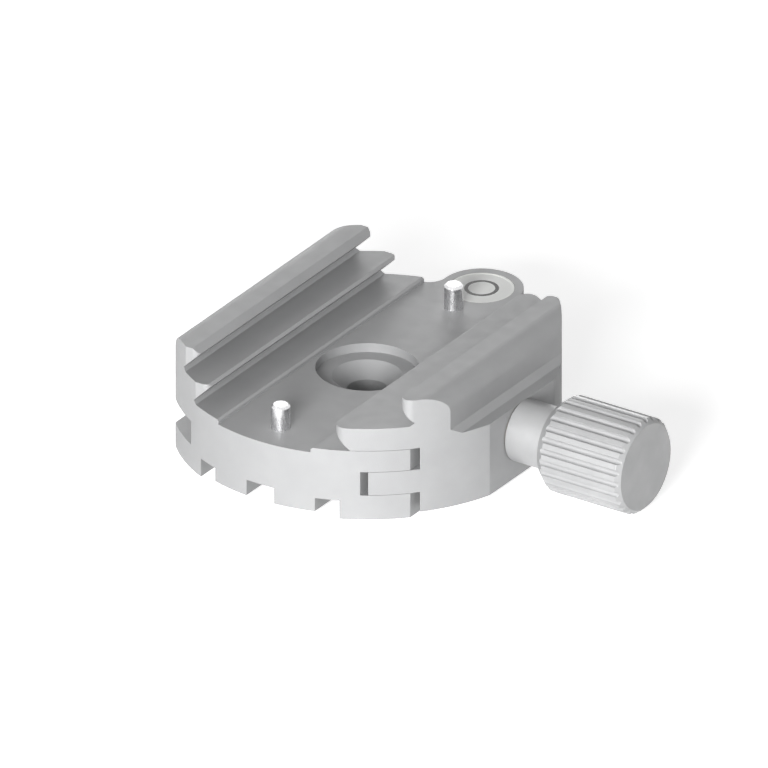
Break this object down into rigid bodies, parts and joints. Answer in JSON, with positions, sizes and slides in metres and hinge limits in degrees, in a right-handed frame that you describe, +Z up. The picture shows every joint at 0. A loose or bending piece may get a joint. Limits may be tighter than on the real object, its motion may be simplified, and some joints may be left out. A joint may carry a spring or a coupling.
{
  "type": "quick release clamp",
  "caption": "Round screw-knob quick release clamp with two levels of dovetail jaws, stop pins, a bullseye level and a countersunk centre hole.",
  "frame": {"origin": "the axis of the centre screw hole, where it meets the plane that the clamp stands on", "axes": "+X along the clamp screw towards the knob, +Y along the dovetail channel towards the level, +Z up out of the channel"},
  "size_m": [0.0731, 0.0685, 0.0202],
  "materials": {
    "grey_anodised": "satin",
    "knob_anodised": "satin",
    "steel": "satin",
    "spring_steel": "satin",
    "brass": "satin",
    "white_plastic": "matte",
    "clear_window": "clear",
    "black_mark": "matte",
    "liquid": "clear"
  },
  "bodies": {
    "base": {"clamp_body": "grey_anodised", "front_stop_pin": "steel", "rear_stop_pin": "steel", "front_guide_pin": "steel", "rear_guide_pin": "steel", "front_spring": "spring_steel", "rear_spring": "spring_steel", "thread_insert": "steel", "level_cup": "white_plastic", "level_window": "clear_window", "level_ring": "black_mark", "level_liquid": "liquid", "level_bubble": "clear_window"},
    "jaw": {"moving_jaw": "grey_anodised", "thrust_washer": "brass"},
    "knob": {"knob": "knob_anodised", "clamp_screw": "steel", "retaining_clip": "spring_steel", "clip_washer": "steel", "knob_grub_screw": "steel"}
  },
  "joints": [
    {"name": "jaw_slide", "type": "slide", "parent": "base", "child": "jaw", "axis": [1, 0, 0], "range_m": [-0.0008, 0.0035], "deforming": ["front_spring", "rear_spring"]},
    {"name": "knob_turn", "type": "hinge", "parent": "jaw", "child": "knob", "pos_m": [0.0287, 0, 0.00828], "axis": [1, 0, 0], "range_deg": [-359, 1574]}
  ],
  "couplings": [
    {"joint": "jaw_slide", "follows": "knob_turn", "m_per_rad": 0.00012732}
  ]
}
